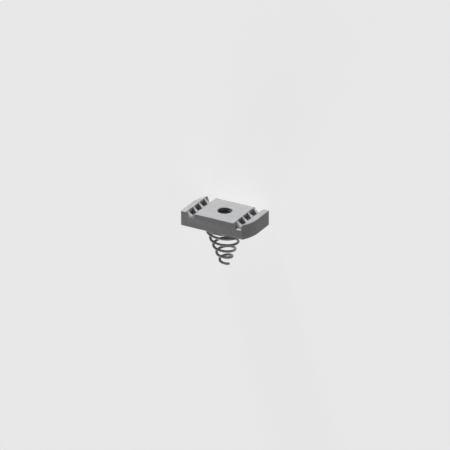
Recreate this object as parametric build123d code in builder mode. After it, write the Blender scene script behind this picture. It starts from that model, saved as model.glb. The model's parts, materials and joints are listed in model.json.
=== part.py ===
from build123d import *
import math
import os

# Strut spring nut, lying on its long side as it comes to rest.
# Toothed face in the XZ plane, facing -Y. Origin: mouth of the thread.
# Thread and spring axis along Y. Millimetres.

# ---- block ----
length = 34.9             # across the channel slot, along X
width = 19.4              # along the channel, along Z
thickness = 7.4           # toothed face to back face, along Y
edge_break = 0.25         # chamfer on the block's outer edges

# ---- thread (M8 x 1.25) ----
thread_bore_d = 6.647     # minor diameter of the internal thread
mouth_chamfer = 0.3       # lead-in at both ends of the bore

# ---- toothed grooves that take the channel lips ----
land_half = 9.95          # thread axis to the near wall of each groove
groove_width = 4.6        # near wall to far wall
ridge_depth = 2.1         # bottom of the V that the ridge tops follow
ridge_low = 2.4           # near wall to the bottom of that V
notch_depth = 3.0         # floor of the notches between the ridges
tooth_pitch = 5.08        # ridge to ridge along the groove
notch_offset = 0.85       # thread axis to the middle of the nearest notch
notch_floor_w = 2.5       # flat floor of a notch, along the groove
flank_draft = 18.0        # lean of the ridges' flanks, degrees
wall_draft = 16.0         # lean of the groove walls beside a notch, degrees

# ---- conical spring ----
wire_d = 1.2
wire_flats = 12           # flats that stand for the round wire, so that the coils stay light
side_margin = 0.3         # widest coil to the long side of the block
tip_coil_r = 1.95         # wire centre line at the narrow end
coil_pitch = 3.72
open_height = 18.2        # closed coil to the narrow end, on centre lines
closed_turn = 0.6         # flat part of the widest coil, in turns
start_angle = 212.8       # where the open coils leave the flat one, degrees
seat_gap = 0.04           # closed coil to the back face

# ---- staked nibs that hold the closed coil ----
nib_w = 1.6               # along the coil
nib_t = 0.9               # thickness at the root
nib_gap = 0.09            # nib to wire
nib_lip = 0.33            # thickness of the lip over the wire
nib_wrap = 70.0           # how far the lip curls round the wire, degrees
nib_angles = (25, 108, 190)   # degrees back from where the open coils start

# ---- derived places ----
trim_r = length / 2                               # trims two corners, round the thread axis
groove_mid = land_half + groove_width / 2
notch_reach = math.ceil(width / 2 / tooth_pitch)
coil_r = width / 2 - side_margin - wire_d / 2     # wire centre line of the closed coil
coil_h = seat_gap + wire_d / 2                    # the same, above the back face

# One notch between two ridges, open at the toothed face
with BuildPart() as notch:
    with BuildSketch(Plane.XZ):
        Rectangle(groove_width, notch_floor_w + 2 * notch_depth * math.tan(math.radians(flank_draft)))
    with BuildSketch(Plane.XZ.offset(-notch_depth)):
        Rectangle(groove_width - 2 * notch_depth * math.tan(math.radians(wall_draft)), notch_floor_w)
    loft()

# ---- nut body ----
with BuildPart() as nut_body:
    # Block outline: a rectangle with two opposite corners trimmed round the axis,
    # so that it can be turned home in the slot one way only
    with BuildSketch(Plane.XZ) as outline:
        Rectangle(length, width)
        with BuildSketch(Plane.XZ, mode=Mode.INTERSECT):
            Circle(trim_r)
            with Locations((length / 4, width / 4), (-length / 4, -width / 4)):
                Rectangle(length / 2, width / 2)
    extrude(amount=-thickness)
    chamfer(nut_body.edges(), length=edge_break)

    # Threaded bore, with a lead-in at both mouths
    with Locations(Plane.XZ):
        Hole(radius=thread_bore_d / 2)
    chamfer(
        nut_body.edges().filter_by(GeomType.CIRCLE).filter_by(
            lambda e: abs(e.radius - thread_bore_d / 2) < 0.01
        ),
        length=mouth_chamfer,
    )

    # V groove along each lip line: its two faces are the tops of the ridges
    with BuildSketch(Plane.XY):
        with BuildLine():
            Polyline(
                (land_half, 0),
                (land_half + ridge_low, ridge_depth),
                (land_half + groove_width, 0),
                close=True,
            )
        make_face()
        mirror(about=Plane.YZ)
    extrude(amount=width, both=True, mode=Mode.SUBTRACT)

    # Notches between the ridges; the second groove is the first one turned half round,
    # and the end notches run out through the long sides
    for i in range(-notch_reach, notch_reach + 1):
        z = notch_offset + i * tooth_pitch
        with Locations((groove_mid, 0, z), (-groove_mid, 0, -z)):
            add(notch.part, mode=Mode.SUBTRACT)

    # Nibs raised from the back face and curled over the closed coil from inside
    hold_r = wire_d / 2 + nib_gap
    root_x = coil_r - hold_r - nib_t
    for back in nib_angles:
        a = math.radians(start_angle - back)
        section = Plane(
            origin=(0, thickness, 0),
            x_dir=(math.cos(a), 0, math.sin(a)),
            z_dir=(-math.sin(a), 0, math.cos(a)),
        )
        with BuildSketch(section):
            with BuildLine():
                curl = CenterArc((coil_r, coil_h), hold_r, 180, -nib_wrap)
                lip = PolarLine(curl @ 1, nib_lip, 180 - nib_wrap)
                ThreePointArc(lip @ 1, (root_x + nib_t / 3, coil_h + wire_d / 2), (root_x, coil_h))
                Polyline((root_x, coil_h), (root_x, -nib_lip), (coil_r - hold_r, -nib_lip), curl @ 0)
            make_face()
        extrude(amount=nib_w / 2, both=True)

# ---- spring ----
coil_seat = Plane(
    origin=(0, thickness + coil_h, 0),
    x_dir=(math.cos(math.radians(start_angle)), 0, math.sin(math.radians(start_angle))),
    z_dir=(0, 1, 0),
)
cone = math.atan((coil_r - tip_coil_r) / open_height)
with BuildPart() as spring:
    # Wound about Z: a flat coil, then open coils that narrow as they rise
    with BuildLine() as path:
        flat = CenterArc((0, 0), coil_r, 360 * closed_turn, -360 * closed_turn)
        Helix(
            coil_pitch / math.cos(cone),
            open_height,
            coil_r,
            cone_angle=-math.degrees(cone),
            lefthand=True,
        )
    with BuildSketch(Plane(origin=flat @ 0, z_dir=flat % 0)):
        RegularPolygon(wire_d / 2, wire_flats, major_radius=False, rotation=180 / wire_flats)
    sweep(path=path.wire())
spring.part = coil_seat.from_local_coords(spring.part)   # laid on the block's back face

nut_body.part.label = "nut_body"
spring.part.label = "spring"
os.makedirs("parts", exist_ok=True)
export_step(nut_body.part, "parts/nut_body.step")
export_step(spring.part, "parts/spring.step")
print("turns", open_height / coil_pitch, "coil r", coil_r, "body", nut_body.part.volume, "spring", spring.part.volume)
print(nut_body.part.bounding_box(), spring.part.bounding_box())
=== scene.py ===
# %% [markdown]
# # A strut spring nut
# This nut slides into a steel channel. The conical spring presses it up
# against the channel's lips, and the two rows of ridges bite into their edges
# when a bolt is tightened. The solid block and its spring come from a packed
# CAD model. Here they get a cut thread, a smooth round wire, their finishes,
# and a small studio.

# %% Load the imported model
import json
import math

import bmesh
import bpy
from mathutils import Matrix, Vector


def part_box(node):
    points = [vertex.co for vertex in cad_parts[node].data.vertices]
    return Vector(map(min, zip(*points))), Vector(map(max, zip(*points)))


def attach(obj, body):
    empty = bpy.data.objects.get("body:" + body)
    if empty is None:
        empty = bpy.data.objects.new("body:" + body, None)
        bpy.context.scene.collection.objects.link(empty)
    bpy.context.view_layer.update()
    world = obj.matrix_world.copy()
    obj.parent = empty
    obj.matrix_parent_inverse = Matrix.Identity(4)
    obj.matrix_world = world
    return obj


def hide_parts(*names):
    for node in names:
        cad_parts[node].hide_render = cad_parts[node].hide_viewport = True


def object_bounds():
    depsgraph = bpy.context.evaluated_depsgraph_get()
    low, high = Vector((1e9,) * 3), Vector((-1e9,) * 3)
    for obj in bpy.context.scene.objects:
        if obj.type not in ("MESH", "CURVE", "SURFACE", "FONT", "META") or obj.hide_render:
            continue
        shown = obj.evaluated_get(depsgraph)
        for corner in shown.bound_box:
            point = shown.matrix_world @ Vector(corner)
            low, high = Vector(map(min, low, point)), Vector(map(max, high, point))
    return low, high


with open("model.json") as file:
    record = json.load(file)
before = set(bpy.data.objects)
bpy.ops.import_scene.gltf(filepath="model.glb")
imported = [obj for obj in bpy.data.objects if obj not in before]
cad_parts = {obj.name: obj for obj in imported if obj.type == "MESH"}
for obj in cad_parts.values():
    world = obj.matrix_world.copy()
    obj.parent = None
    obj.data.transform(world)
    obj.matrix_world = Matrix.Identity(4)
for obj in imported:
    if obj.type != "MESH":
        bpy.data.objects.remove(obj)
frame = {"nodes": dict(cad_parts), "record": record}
cad_low, cad_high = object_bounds()
bpy.context.scene.view_settings.view_transform = "Standard"
MM = 0.001
for name in frame["nodes"]:
    low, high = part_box(name)
    print(name, [round(v / MM, 2) for v in (*low, *high)])

# %% [markdown]
# ## Measures
# The bore's radius is read from the part's record, so it can't drift from the
# solids. What the record doesn't say by itself, the thread's pitch and the way
# the wire runs, is written down once here, in millimetres.

# %% The block, its thread and its spring in numbers
BLOCK_THICKNESS = 7.4
BORE_RADIUS = frame["record"]["mounts"][0]["dims"]["r_mm"]
THREAD_MAJOR_RADIUS = 4.0
THREAD_PITCH = 1.25
WIRE_DIAMETER = 1.2
COIL_GAP = 0.04                      # air between the closed coil and the block
COIL_RADIUS, TIP_RADIUS = 8.8, 1.95  # wire centre line, at the wide and the narrow end
COIL_PITCH, OPEN_HEIGHT, CLOSED_TURNS = 3.72, 18.2, 0.6
COIL_START = math.radians(212.8)     # where the open coils leave the closed one
GROOVE_CENTRE, GROOVE_HALF_WIDTH = 12.35, 2.4    # thread axis to the bottom of a lip groove
print("bore radius", round(BORE_RADIUS, 3), "mm")

# %% [markdown]
# ## Camera
# A long lens far away keeps the edges of a small machined part almost
# parallel, as in a catalogue view. The camera is turned about its own axis,
# because the part lies on its long side here while it is shown with its
# toothed face up. Its three directions are given as the columns of a turn.

# %% Place the camera
DISTANCE = 1.5
VIEW_WIDTH = 202.977 * MM    # what the view takes in across, at the part
to_camera = Vector((-0.4465, -0.4321, 0.7836))
picture_right = Vector((-0.8703, 0.0061, -0.4926))
picture_up = Vector((0.2081, -0.9018, -0.3787))
aim = (0.08 * picture_right - 6.65 * picture_up) * MM

camera_data = bpy.data.cameras.new("product_camera")
camera_data.lens = camera_data.sensor_width * DISTANCE / VIEW_WIDTH
camera_data.clip_start, camera_data.clip_end = 0.05, 20
camera = bpy.data.objects.new("product_camera", camera_data)
turn = Matrix((picture_right, picture_up, to_camera)).transposed().to_4x4()
camera.matrix_world = Matrix.Translation(aim + to_camera * DISTANCE) @ turn
bpy.context.scene.collection.objects.link(camera)
bpy.context.scene.camera = camera
print("lens", round(camera_data.lens), "mm")

# %% [markdown]
# ## Small helpers for node trees
# Every material and every Geometry Nodes tree below is a handful of nodes.
# One function adds a node and fills its sockets, so that each tree reads as
# a short list. A socket is named by its title, with _ for a space, or by its
# place, as i0, i1 and so on.


# %% Add and wire nodes
def add_node(tree, kind, settings=None, **sockets):
    """A node with its settings, and each socket given a value or a link."""
    node = tree.nodes.new(kind)
    for key, value in (settings or {}).items():
        setattr(node, key, value)
    for key, value in sockets.items():
        by_place = key.startswith("i") and key[1:].isdigit()
        socket = node.inputs[int(key[1:]) if by_place else key.replace("_", " ")]
        if isinstance(value, bpy.types.NodeSocket):
            tree.links.new(value, socket)
        else:
            socket.default_value = value
    return node


def calc(tree, operation, first, second=0.0, third=0.0, clamp=False):
    """The result of a Math node."""
    settings = {"operation": operation, "use_clamp": clamp}
    return add_node(tree, "ShaderNodeMath", settings, i0=first, i1=second, i2=third).outputs[0]


print("node helpers ready")

# %% [markdown]
# ## Background
# The surroundings have two jobs. Seen directly, or in the metal, they are one
# even pale tone. As a light they are almost nothing, so that the lamps alone
# shape the part. The kind of ray decides which of the two it meets.

# %% Pale world
PALE = (0.806, 0.806, 0.806, 1)
AMBIENT_STRENGTH = 0.02


def seen_directly(tree):
    """1 for rays that show the surroundings: camera, mirror and glass rays."""
    path = add_node(tree, "ShaderNodeLightPath")
    shown = calc(tree, "ADD", path.outputs["Is Camera Ray"], path.outputs["Is Glossy Ray"])
    return calc(tree, "ADD", shown, path.outputs["Is Transmission Ray"], clamp=True)


def studio_world():
    world = bpy.data.worlds.new("studio")
    world.use_nodes = True
    tree = world.node_tree
    tree.nodes.clear()
    shown = add_node(tree, "ShaderNodeBackground", Color=PALE, Strength=1.0)
    ambient = add_node(
        tree, "ShaderNodeBackground", Color=(1, 1, 1, 1), Strength=AMBIENT_STRENGTH
    )
    mix = add_node(
        tree,
        "ShaderNodeMixShader",
        i0=seen_directly(tree),
        i1=ambient.outputs[0],
        i2=shown.outputs[0],
    )
    add_node(tree, "ShaderNodeOutputWorld", Surface=mix.outputs[0])
    return world


bpy.context.scene.world = studio_world()
print("world", bpy.context.scene.world.name)

# %% [markdown]
# ## Floor
# The pale floor carries the part's soft shadow. Most of its brightness is its
# own glow, in the tone of the world behind it, so the two run together from
# any side. The rest is plain scattered light, which is where a shadow shows.

# %% Pale floor
FLOOR_HALF = 3.0
FLOOR_GLOW_SHARE, FLOOR_GLOW_STRENGTH = 0.60, 1.58


def floor_material():
    material = bpy.data.materials.new("pale_floor")
    material.use_nodes = True
    tree = material.node_tree
    tree.nodes.clear()
    lit = add_node(tree, "ShaderNodeBsdfDiffuse", Color=(0.8, 0.8, 0.8, 1))
    glow = add_node(tree, "ShaderNodeEmission", Color=PALE, Strength=FLOOR_GLOW_STRENGTH)
    share = calc(tree, "MULTIPLY", seen_directly(tree), FLOOR_GLOW_SHARE)
    mix = add_node(tree, "ShaderNodeMixShader", i0=share, i1=lit.outputs[0], i2=glow.outputs[0])
    add_node(tree, "ShaderNodeOutputMaterial", Surface=mix.outputs[0])
    return material


floor_corners = [
    (x * FLOOR_HALF, y * FLOOR_HALF, cad_low.z) for x, y in ((-1, -1), (1, -1), (1, 1), (-1, 1))
]
floor_mesh = bpy.data.meshes.new("floor")
floor_mesh.from_pydata(floor_corners, [], [(0, 1, 2, 3)])
floor_mesh.materials.append(floor_material())
floor = bpy.data.objects.new("floor", floor_mesh)
bpy.context.scene.collection.objects.link(floor)
print("floor at", round(cad_low.z / MM, 2), "mm")

# %% [markdown]
# ## Lamps
# The toothed face looks along -Y and takes the main light. That lamp stands
# low and a little to one side, so the long side and the round end stay two
# stops darker, and the form reads at once. A broad weak lamp from behind shows
# the back face and the far side of the spring, and a very weak one from above
# evens out the long side and the round end.


# %% Main lamp and two fills
def soft_sun(name, towards, strength, spread):
    """A broad lamp. towards points from the part to the lamp, spread is in degrees."""
    data = bpy.data.lights.new(name, "SUN")
    data.energy, data.angle = strength * math.pi, math.radians(spread)
    lamp = bpy.data.objects.new(name, data)
    lamp.rotation_mode = "QUATERNION"
    lamp.rotation_quaternion = Vector(towards).to_track_quat("Z", "Y")
    bpy.context.scene.collection.objects.link(lamp)


soft_sun("main_lamp", (0.30, -0.95, 0.02), 1.36, 9)
soft_sun("back_fill", (0.35, 0.93, 0.05), 0.50, 30)
soft_sun("side_fill", (-0.75, 0.10, 0.65), 0.05, 30)

# %% [markdown]
# ## Cloudy plating
# Zinc plating is never one flat grey. It clouds over in patches a few
# millimetres wide, and on top of that it has a fine grain. Both are noises in
# the part's own coordinates. They are kept in a group with named inputs, so
# that the block and the wire can each use them at their own scale.


# %% Node group: clouds and grain
def new_group(name, inputs, outputs):
    """A shader node group with named inputs and outputs."""
    tree = bpy.data.node_groups.new(name, "ShaderNodeTree")
    for title, default in inputs:
        socket = tree.interface.new_socket(title, in_out="INPUT", socket_type="NodeSocketFloat")
        socket.default_value = default
    for title in outputs:
        tree.interface.new_socket(title, in_out="OUTPUT", socket_type="NodeSocketFloat")
    return tree, add_node(tree, "NodeGroupInput"), add_node(tree, "NodeGroupOutput")


def plating_group():
    tree, given, out = new_group(
        "plating_clouds",
        [("Cloud Size", 900.0), ("Grain Size", 9000.0), ("Contrast", 1.0)],
        ["Clouds", "Grain"],
    )
    where = add_node(tree, "ShaderNodeTexCoord").outputs["Object"]
    clouds = add_node(
        tree,
        "ShaderNodeTexNoise",
        Vector=where,
        Scale=given.outputs["Cloud Size"],
        Detail=4.0,
        Roughness=0.6,
    )
    grain = add_node(
        tree, "ShaderNodeTexNoise", Vector=where, Scale=given.outputs["Grain Size"], Detail=2.0
    )
    centred = calc(tree, "SUBTRACT", clouds.outputs[0], 0.5)
    spread = calc(tree, "MULTIPLY_ADD", centred, given.outputs["Contrast"], 0.5, clamp=True)
    tree.links.new(spread, out.inputs["Clouds"])
    tree.links.new(grain.outputs[0], out.inputs["Grain"])
    return tree


PLATING = plating_group()
print("group", PLATING.name)

# %% [markdown]
# ## Rubbed edges with painted highlight, and painted shade in recesses
# Parts are plated and shipped loose in a drum, so sharp edges rub bright. The
# Bevel node gives a normal rounded over the edge, and where that differs from
# the true one there is an edge, which is lightened: partly rubbing, partly a
# painted highlight, and hollow edges get it too. Deep inside a notch or a hole
# the colour is darkened as painted shade. Ambient Occlusion finds those places.


# %% Node groups: edge mask and recess mask for painted shade
# Lighter edges: partly wear from rubbing, partly a painted highlight; hollow edges get it too.
def edge_group():
    tree, given, out = new_group("rubbed_edges", [("Width", 0.0003), ("Strength", 1.0)], ["Edge"])
    rounded = add_node(tree, "ShaderNodeBevel", {"samples": 6}, Radius=given.outputs["Width"])
    flat = add_node(tree, "ShaderNodeNewGeometry")
    alike = add_node(
        tree,
        "ShaderNodeVectorMath",
        {"operation": "DOT_PRODUCT"},
        i0=rounded.outputs[0],
        i1=flat.outputs["Normal"],
    )
    turned = calc(tree, "SUBTRACT", 1.0, alike.outputs["Value"])
    edge = calc(tree, "MULTIPLY", turned, given.outputs["Strength"], clamp=True)
    tree.links.new(edge, out.inputs["Edge"])
    return tree


# Painted shade: a mask for darkening the colour where a point is closed in, as in a notch or the
# bore.
def recess_group():
    tree, given, out = new_group(
        "recess_painted_shade", [("Reach", 0.003), ("Start", 0.2), ("Strength", 1.0)], ["Recess"]
    )
    openness = add_node(
        tree,
        "ShaderNodeAmbientOcclusion",
        {"samples": 16, "only_local": True},
        Distance=given.outputs["Reach"],
    )
    closed = calc(tree, "SUBTRACT", 1.0, openness.outputs["AO"])
    past = calc(tree, "SUBTRACT", closed, given.outputs["Start"])
    recess = calc(tree, "MULTIPLY", past, given.outputs["Strength"], clamp=True)
    tree.links.new(recess, out.inputs["Recess"])
    return tree


EDGES, RECESSES = edge_group(), recess_group()
print("groups", EDGES.name, RECESSES.name)

# %% [markdown]
# ## Handling marks
# Nuts that knock against each other get fine scuffs. A noise stretched far
# along one direction has long, almost straight level lines, and a thin band
# round one level is a scratch. A second, wide noise breaks the scratches up.
# Two directions are laid over each other, so that no grain shows.


# %% Node group: fine scuffs
BREAKS_PER_LENGTH, BREAK_EDGE = 1.6, 8.0    # how often a scratch breaks off, how sharply
ONE_TILT, OTHER_TILT = (0.2, 0.5, 0.3), (-0.3, -0.9, 0.7)


def scratch_lines(tree, given, tilt):
    """Thin broken lines along one direction: the level lines of a stretched noise."""
    where = add_node(tree, "ShaderNodeTexCoord").outputs["Object"]
    turned = add_node(tree, "ShaderNodeMapping", Vector=where, Rotation=tilt)
    across = calc(tree, "DIVIDE", 1.0, given.outputs["Spacing"])
    along = calc(tree, "DIVIDE", 1.0, given.outputs["Length"])
    stretch = add_node(tree, "ShaderNodeCombineXYZ", X=along, Y=across, Z=across)
    spot = add_node(
        tree,
        "ShaderNodeVectorMath",
        {"operation": "MULTIPLY"},
        i0=turned.outputs[0],
        i1=stretch.outputs[0],
    )
    field = add_node(
        tree, "ShaderNodeTexNoise", Vector=spot.outputs["Vector"], Scale=1.0, Detail=1.0
    )
    off_line = calc(tree, "ABSOLUTE", calc(tree, "SUBTRACT", field.outputs[0], 0.5))
    faded = calc(tree, "DIVIDE", off_line, given.outputs["Fineness"])
    line = calc(tree, "SUBTRACT", 1.0, faded, clamp=True)
    wide = calc(tree, "DIVIDE", BREAKS_PER_LENGTH, given.outputs["Length"])
    gaps = add_node(tree, "ShaderNodeTexNoise", Vector=where, Scale=wide, Detail=0.0)
    above = calc(tree, "SUBTRACT", gaps.outputs[0], 0.5)
    kept = calc(tree, "MULTIPLY", above, BREAK_EDGE, clamp=True)
    return calc(tree, "MULTIPLY", line, kept)


def marks_group():
    tree, given, out = new_group(
        "handling_marks",
        [("Length", 0.006), ("Spacing", 0.0012), ("Fineness", 0.03)],
        ["Marks"],
    )
    one_way = scratch_lines(tree, given, ONE_TILT)
    other_way = scratch_lines(tree, given, OTHER_TILT)
    tree.links.new(calc(tree, "MAXIMUM", one_way, other_way), out.inputs["Marks"])
    return tree


MARKS = marks_group()
print("group", MARKS.name)

# %% [markdown]
# ## Painted highlight on the ridges
# The ridge tops lean about 45 degrees from the toothed face, towards the
# block's ends, and get a lighter colour there: a painted highlight, where the
# main lamp falls on them. The small chamfers lean the same way, so the mask also asks
# how far a point is from the thread axis, and keeps only the two grooves.


# %% Node group: painted highlight on the slanted tops of the ridges
FACES_OUT = -0.6    # the toothed face looks along -Y


# Painted highlight: a mask of the slanted ridge tops, whose colour is lightened as if lit.
def ridge_group():
    tree, given, out = new_group(
        "ridge_painted_highlight",
        [
            ("Least Lean", 0.6),
            ("Most Lean", 0.75),
            ("Groove Centre", GROOVE_CENTRE * MM),
            ("Half Width", GROOVE_HALF_WIDTH * MM),
        ],
        ["Ridge"],
    )
    place = add_node(tree, "ShaderNodeTexCoord")
    facing = add_node(tree, "ShaderNodeSeparateXYZ", Vector=place.outputs["Normal"])
    where = add_node(tree, "ShaderNodeSeparateXYZ", Vector=place.outputs["Object"])
    from_axis = calc(tree, "ABSOLUTE", where.outputs["X"])
    in_groove = calc(
        tree, "COMPARE", from_axis, given.outputs["Groove Centre"], given.outputs["Half Width"]
    )
    lean = calc(tree, "ABSOLUTE", facing.outputs["X"])
    enough = calc(tree, "GREATER_THAN", lean, given.outputs["Least Lean"])
    not_too_much = calc(tree, "LESS_THAN", lean, given.outputs["Most Lean"])
    outward = calc(tree, "LESS_THAN", facing.outputs["Y"], FACES_OUT)
    leaning = calc(tree, "MULTIPLY", calc(tree, "MULTIPLY", enough, not_too_much), outward)
    tree.links.new(calc(tree, "MULTIPLY", leaning, in_groove), out.inputs["Ridge"])
    return tree


RIDGES = ridge_group()
print("group", RIDGES.name)

# %% [markdown]
# ## Zinc-plated block
# The block is formed steel with a dull plating. It is more a satin grey than
# a mirror: most of the surface scatters light like paint, so the shader is
# only slightly metallic. The base tone moves with the clouds and the grain.
# Scuffs and rubbing lighten it, a painted highlight lightens the ridge tops and
# the edges, and painted shade darkens the recesses.


# %% Material of the block
# The last share sets how far the painted highlight lightens the ridge tops.
GRAIN_SHARE, SCUFF_SHARE, RIDGE_HIGHLIGHT_SHARE = 0.9, 0.4, 0.5


def grey(value):
    """A grey with the faint blue of zinc."""
    return (value, value * 1.005, value * 1.03, 1)


def blend(tree, share, below, above):
    """Two colours mixed by a mask."""
    node = add_node(
        tree, "ShaderNodeMix", {"data_type": "RGBA"}, i0=share, i6=below, i7=above
    )
    return node.outputs[2]


def zinc_material():
    material = bpy.data.materials.new("zinc_plated_steel")
    material.use_nodes = True
    tree = material.node_tree
    tree.nodes.clear()

    def group(kind, output, **sizes):
        return add_node(tree, "ShaderNodeGroup", {"node_tree": kind}, **sizes).outputs[output]

    plating = add_node(
        tree,
        "ShaderNodeGroup",
        {"node_tree": PLATING},
        Cloud_Size=420.0,
        Grain_Size=6000.0,
        Contrast=1.6,
    )
    marks = group(MARKS, "Marks", Length=0.014, Spacing=0.0007, Fineness=0.02)
    ridges = group(
        RIDGES,
        "Ridge",
        Least_Lean=0.6,
        Most_Lean=0.75,
        Groove_Centre=GROOVE_CENTRE * MM,
        Half_Width=GROOVE_HALF_WIDTH * MM,
    )
    recess = group(RECESSES, "Recess", Reach=0.006, Start=0.42, Strength=10.0)
    edges = group(EDGES, "Edge", Width=0.00035, Strength=2.5)

    speckle = calc(tree, "SUBTRACT", plating.outputs["Grain"], 0.5)
    clouds = plating.outputs["Clouds"]
    tone = calc(tree, "MULTIPLY_ADD", speckle, GRAIN_SHARE, clouds, clamp=True)
    plated = blend(tree, tone, grey(0.45), grey(0.58))
    scuffed = blend(tree, calc(tree, "MULTIPLY", marks, SCUFF_SHARE), plated, grey(0.70))
    # Painted highlight: the slanted ridge tops lightened towards a grey of 0.80.
    ridge_highlighted = blend(tree, calc(tree, "MULTIPLY", ridges, RIDGE_HIGHLIGHT_SHARE), scuffed, grey(0.80))
    # Painted shade: recesses darkened towards a grey of 0.13.
    recess_shaded = blend(tree, recess, ridge_highlighted, grey(0.13))
    # Edges lightened towards a grey of 0.68: partly wear, partly painted highlight.
    rubbed = blend(tree, edges, recess_shaded, grey(0.68))

    rough = add_node(
        tree,
        "ShaderNodeMapRange",
        Value=clouds,
        From_Min=0.2,
        From_Max=0.8,
        To_Min=0.42,
        To_Max=0.58,
    )
    bump = add_node(
        tree,
        "ShaderNodeBump",
        Height=plating.outputs["Grain"],
        Strength=0.12,
        Distance=0.00003,
    )
    shader = add_node(
        tree,
        "ShaderNodeBsdfPrincipled",
        Base_Color=rubbed,
        Metallic=0.12,
        Roughness=rough.outputs[0],
        Normal=bump.outputs[0],
        Specular_IOR_Level=0.25,
    )
    add_node(tree, "ShaderNodeOutputMaterial", Surface=shader.outputs[0])
    return material


ZINC = zinc_material()
print("material", ZINC.name, len(ZINC.node_tree.nodes), "nodes")

# %% [markdown]
# ## Spring wire
# The spring is cold-drawn wire, so faint lines run along it, and it is darker
# and shinier than the block. How far along the wire and how far round it a
# point lies is kept on the mesh as an attribute, and the lines are a noise
# that is read there.


# %% Material of the wire
def wire_material():
    material = bpy.data.materials.new("drawn_spring_wire")
    material.use_nodes = True
    tree = material.node_tree
    tree.nodes.clear()
    along = add_node(tree, "ShaderNodeAttribute", {"attribute_name": "wire_run"})
    lines = add_node(
        tree, "ShaderNodeTexNoise", Vector=along.outputs["Vector"], Scale=1.0, Detail=3.0
    ).outputs[0]
    plating = add_node(
        tree,
        "ShaderNodeGroup",
        {"node_tree": PLATING},
        Cloud_Size=700.0,
        Grain_Size=9000.0,
        Contrast=1.4,
    )
    drawn = calc(tree, "MULTIPLY", lines, 0.5)
    tone = calc(tree, "MULTIPLY_ADD", plating.outputs["Clouds"], 0.5, drawn)
    rough = add_node(
        tree,
        "ShaderNodeMapRange",
        Value=lines,
        From_Min=0.3,
        From_Max=0.7,
        To_Min=0.28,
        To_Max=0.42,
    )
    bump = add_node(tree, "ShaderNodeBump", Height=lines, Strength=0.15, Distance=0.00002)
    shader = add_node(
        tree,
        "ShaderNodeBsdfPrincipled",
        Base_Color=blend(tree, tone, grey(0.16), grey(0.34)),
        Metallic=0.45,
        Roughness=rough.outputs[0],
        Normal=bump.outputs[0],
    )
    add_node(tree, "ShaderNodeOutputMaterial", Surface=shader.outputs[0])
    return material


WIRE = wire_material()
print("material", WIRE.name)

# %% [markdown]
# ## Geometry Nodes helpers
# A rule-made shape is a node tree with named sizes. It is put on an empty
# mesh, its inputs are set by their identifiers, and the result is then turned
# into a plain mesh, because instances and live modifiers don't leave Blender.


# %% Run a tree once and keep its mesh
def geometry_tree(name, sizes):
    """A tree with a geometry output and one float input for each size."""
    tree = bpy.data.node_groups.new(name, "GeometryNodeTree")
    for title, value in sizes.items():
        socket = tree.interface.new_socket(title, in_out="INPUT", socket_type="NodeSocketFloat")
        socket.default_value = value
    tree.interface.new_socket("Geometry", in_out="OUTPUT", socket_type="NodeSocketGeometry")
    return tree, add_node(tree, "NodeGroupInput"), add_node(tree, "NodeGroupOutput")


def finish_tree(tree, out, geometry, material):
    """Ends a tree in plain faces with their material."""
    solid = add_node(tree, "GeometryNodeRealizeInstances", Geometry=geometry)
    painted = add_node(
        tree, "GeometryNodeSetMaterial", Geometry=solid.outputs[0], Material=material
    )
    tree.links.new(painted.outputs[0], out.inputs[0])


def plain_mesh(piece, name):
    """The mesh of a piece with its modifiers worked in."""
    ready = piece.evaluated_get(bpy.context.evaluated_depsgraph_get())
    mesh = bpy.data.meshes.new_from_object(ready)
    mesh.name = name
    return mesh


def grown_mesh(name, tree, sizes):
    """The plain mesh that the tree makes with these sizes."""
    carrier = bpy.data.objects.new(name, bpy.data.meshes.new(name))
    bpy.context.scene.collection.objects.link(carrier)
    modifier = carrier.modifiers.new(name, "NODES")
    modifier.node_group = tree
    for item in tree.interface.items_tree:
        if item.in_out == "INPUT" and item.name in sizes:
            modifier[item.identifier] = sizes[item.name]
    mesh = plain_mesh(carrier, name)
    bpy.data.objects.remove(carrier)
    return mesh


print("geometry helpers ready")

# %% [markdown]
# ## The conical spring
# One wire makes a flat coil that rests on the block's back face, and then
# rises and narrows to a small end. Its angle, height and radius are each a
# short formula of the turns wound so far, so the path is a line of points
# that Set Position winds up. Curve to Mesh gives it a round section.

# %% Tree that winds the wire
WIRE_POINTS, WIRE_SIDES = 640, 20
SPRING_SIZES = {
    "Wire Diameter": WIRE_DIAMETER * MM,
    "Coil Radius": COIL_RADIUS * MM,
    "Tip Radius": TIP_RADIUS * MM,
    "Coil Pitch": COIL_PITCH * MM,
    "Open Height": OPEN_HEIGHT * MM,
    "Closed Turns": CLOSED_TURNS,
    "Start Angle": COIL_START,
    "Seat": (BLOCK_THICKNESS + COIL_GAP + WIRE_DIAMETER / 2) * MM,
}


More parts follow.
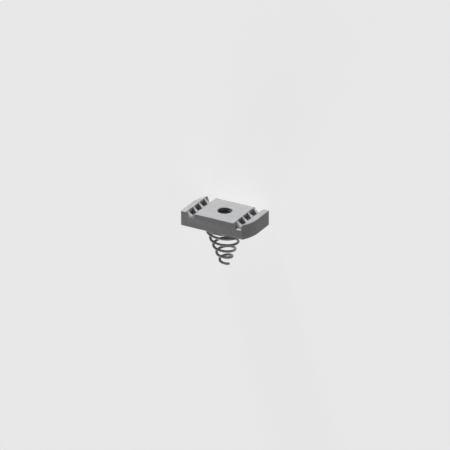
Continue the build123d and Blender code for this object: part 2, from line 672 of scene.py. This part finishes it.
def spring_tree():
    tree, given, out = geometry_tree("wind_spring", SPRING_SIZES)
    size = given.outputs
    line = add_node(tree, "GeometryNodeCurvePrimitiveLine")
    points = add_node(
        tree, "GeometryNodeResampleCurve", Curve=line.outputs[0], Count=WIRE_POINTS
    )
    share = add_node(tree, "GeometryNodeSplineParameter").outputs["Factor"]
    open_turns = calc(tree, "DIVIDE", size["Open Height"], size["Coil Pitch"])
    all_turns = calc(tree, "ADD", open_turns, size["Closed Turns"])
    from_end = calc(tree, "MULTIPLY", share, all_turns)
    turns = calc(tree, "SUBTRACT", from_end, size["Closed Turns"])
    height = calc(tree, "MULTIPLY", calc(tree, "MAXIMUM", turns, 0.0), size["Coil Pitch"])
    narrowing = calc(tree, "SUBTRACT", size["Coil Radius"], size["Tip Radius"])
    drawn_in = calc(tree, "DIVIDE", calc(tree, "MULTIPLY", narrowing, height), size["Open Height"])
    radius = calc(tree, "SUBTRACT", size["Coil Radius"], drawn_in)
    angle = calc(tree, "MULTIPLY_ADD", turns, 2 * math.pi, size["Start Angle"])
    place = add_node(
        tree,
        "ShaderNodeCombineXYZ",
        X=calc(tree, "MULTIPLY", radius, calc(tree, "COSINE", angle)),
        Y=calc(tree, "ADD", size["Seat"], height),
        Z=calc(tree, "MULTIPLY", radius, calc(tree, "SINE", angle)),
    )
    wound = add_node(
        tree, "GeometryNodeSetPosition", Geometry=points.outputs[0], Position=place.outputs[0]
    )
    wire_radius = calc(tree, "MULTIPLY", size["Wire Diameter"], 0.5)
    ring = add_node(
        tree, "GeometryNodeCurvePrimitiveCircle", Resolution=WIRE_SIDES, Radius=wire_radius
    )
    wire = add_node(
        tree,
        "GeometryNodeCurveToMesh",
        Curve=wound.outputs[0],
        Profile_Curve=ring.outputs[0],
        Fill_Caps=True,
    )
    finish_tree(tree, out, wire.outputs[0], WIRE)
    return tree


spring_mesh = grown_mesh("spring_wire", spring_tree(), SPRING_SIZES)
print("spring", len(spring_mesh.polygons), "faces")

# %% [markdown]
# ## Keep the wire's run on the mesh
# Drawn lines follow the wire, so each vertex keeps how far along the wire it
# lies and how far round it, as a point on a circle. Read as a position by the
# noise, that gives streaks along the wire with no seam.

# %% Store the run, smooth the wire and stand in for the CAD spring
RUN_STEP, RUN_GIRTH = 0.16, 3.2      # small steps along and a wide ring make long streaks
run = spring_mesh.attributes.new("wire_run", "FLOAT_VECTOR", "POINT")
for index in range(len(spring_mesh.vertices)):
    step, side = divmod(index, WIRE_SIDES)
    turned = 2 * math.pi * side / WIRE_SIDES
    across, up = RUN_GIRTH * math.cos(turned), RUN_GIRTH * math.sin(turned)
    run.data[index].vector = (step * RUN_STEP, across, up)
for face in spring_mesh.polygons:
    face.use_smooth = len(face.vertices) == 4    # all but the two end caps
spring_piece = bpy.data.objects.new("spring_wire", spring_mesh)
bpy.context.scene.collection.objects.link(spring_piece)
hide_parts("spring")
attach(spring_piece, "root")
print("spring length", round(spring_piece.dimensions.y / MM, 2), "mm")

# %% [markdown]
# ## A tap for the thread
# A tapped hole is cut by a tool of the thread's own shape, so the same is
# done here: a cylinder whose radius follows a sloped wave that goes once
# round for each pitch. It is subtracted from the block. The wave fades out
# at both faces, where the hole has its small chamfers.

# %% Tree that makes the tap
TAP_SIDES, TAP_STEPS = 72, 150
ROOT_END, CREST_START = 0.07, 0.43   # where the thread's flank starts and ends, in half turns
TAP_SIZES = {
    "Pitch": THREAD_PITCH * MM,
    "Major Radius": THREAD_MAJOR_RADIUS * MM,
    "Minor Radius": (BORE_RADIUS - 0.02) * MM,   # a little inside the bore's own wall
    "Length": (BLOCK_THICKNESS + 2.4) * MM,      # past both faces
    "Middle": BLOCK_THICKNESS / 2 * MM,
    "Run Out": 0.35 * MM,
}


def tap_tree():
    tree, given, out = geometry_tree("thread_tap", TAP_SIZES)
    size = given.outputs
    rod = add_node(
        tree,
        "GeometryNodeMeshCylinder",
        Vertices=TAP_SIDES,
        Side_Segments=TAP_STEPS,
        Radius=size["Minor Radius"],
        Depth=size["Length"],
    )
    position = add_node(tree, "GeometryNodeInputPosition").outputs[0]
    x, y, z = add_node(tree, "ShaderNodeSeparateXYZ", Vector=position).outputs
    angle = calc(tree, "ARCTAN2", y, x)
    round_share = calc(tree, "DIVIDE", angle, 2 * math.pi)
    wound = calc(tree, "SUBTRACT", calc(tree, "DIVIDE", z, size["Pitch"]), round_share)
    flank = add_node(
        tree,
        "ShaderNodeMapRange",
        Value=calc(tree, "PINGPONG", wound, 0.5),
        From_Min=ROOT_END,
        From_Max=CREST_START,
        To_Min=0.0,
        To_Max=1.0,
    )
    to_face = calc(tree, "SUBTRACT", size["Middle"], calc(tree, "ABSOLUTE", z))
    past_run_out = calc(tree, "SUBTRACT", to_face, size["Run Out"])
    fade = calc(tree, "DIVIDE", past_run_out, size["Run Out"], clamp=True)
    depth = calc(tree, "SUBTRACT", size["Major Radius"], size["Minor Radius"])
    cut = calc(tree, "MULTIPLY", calc(tree, "MULTIPLY", flank.outputs[0], fade), depth)
    radius = calc(tree, "ADD", size["Minor Radius"], cut)
    sine = calc(tree, "MULTIPLY", calc(tree, "SINE", angle), -1.0)
    place = add_node(
        tree,
        "ShaderNodeCombineXYZ",
        X=calc(tree, "MULTIPLY", radius, calc(tree, "COSINE", angle)),
        Y=calc(tree, "ADD", z, size["Middle"]),
        Z=calc(tree, "MULTIPLY", radius, sine),
    )
    shaped = add_node(
        tree, "GeometryNodeSetPosition", Geometry=rod.outputs["Mesh"], Position=place.outputs[0]
    )
    finish_tree(tree, out, shaped.outputs[0], ZINC)
    return tree


tap_mesh = grown_mesh("thread_tap", tap_tree(), TAP_SIZES)
print("tap", len(tap_mesh.polygons), "faces")

# %% [markdown]
# ## The block, ready for the tap
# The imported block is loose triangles, so a copy is merged first, or the
# boolean would find no solid. The copy also drops the stored normals, which
# belong to the old triangles and would shade the flat faces wrongly.


# %% Merge a copy of the CAD block
def joined(source, distance):
    """An editable copy of a mesh, with points closer than distance joined."""
    shell = bmesh.new()
    shell.from_mesh(source)
    bmesh.ops.remove_doubles(shell, verts=shell.verts, dist=distance)
    return shell


def put_back(shell, mesh):
    shell.to_mesh(mesh)
    shell.free()


CAD_JOIN, SLIVER_JOIN = 0.0001 * MM, 0.01 * MM
block_mesh = bpy.data.meshes.new("toothed_block")
put_back(joined(frame["nodes"]["nut_body"].data, CAD_JOIN), block_mesh)
if "custom_normal" in block_mesh.attributes:
    block_mesh.attributes.remove(block_mesh.attributes["custom_normal"])
block = bpy.data.objects.new("toothed_block", block_mesh)
tap = bpy.data.objects.new("thread_tap", tap_mesh)
for piece in (block, tap):
    bpy.context.scene.collection.objects.link(piece)
print("merged block", len(block_mesh.vertices), "points")

# %% [markdown]
# ## Cut the thread
# An exact boolean takes the tap out of the block, which leaves the bore's
# chamfers and gives the hole its turns. It also leaves slivers with no area
# along the thread. A second, slightly wider merge joins their points, and the
# Beauty method picks well-shaped triangles, so that the mesh is closed and
# clean. Then the round faces are smoothed, and sharper edges stay crisp.

# %% Tap the hole and stand in for the CAD block
SHARP_ABOVE = math.radians(24)
cutter = block.modifiers.new("tap_thread", "BOOLEAN")
cutter.operation, cutter.solver, cutter.object = "DIFFERENCE", "EXACT", tap
cut_mesh = plain_mesh(block, "toothed_block")
block.modifiers.clear()
shell = joined(cut_mesh, SLIVER_JOIN)
bmesh.ops.triangulate(shell, faces=shell.faces, quad_method="BEAUTY", ngon_method="BEAUTY")
put_back(shell, cut_mesh)
block.data = cut_mesh
bpy.data.objects.remove(tap)
cut_mesh.materials.clear()
cut_mesh.materials.append(ZINC)
cut_mesh.shade_smooth()
cut_mesh.set_sharp_from_angle(angle=SHARP_ABOVE)
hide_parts("nut_body")
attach(block, "root")
print("block", len(cut_mesh.polygons), "faces")

# %% [markdown]
# ## Sizes
# The last line prints the imported model's box, in millimetres.

# %% Write the sizes and finish
print("cad", [round(v / MM, 2) for v in (*cad_low, *cad_high)])
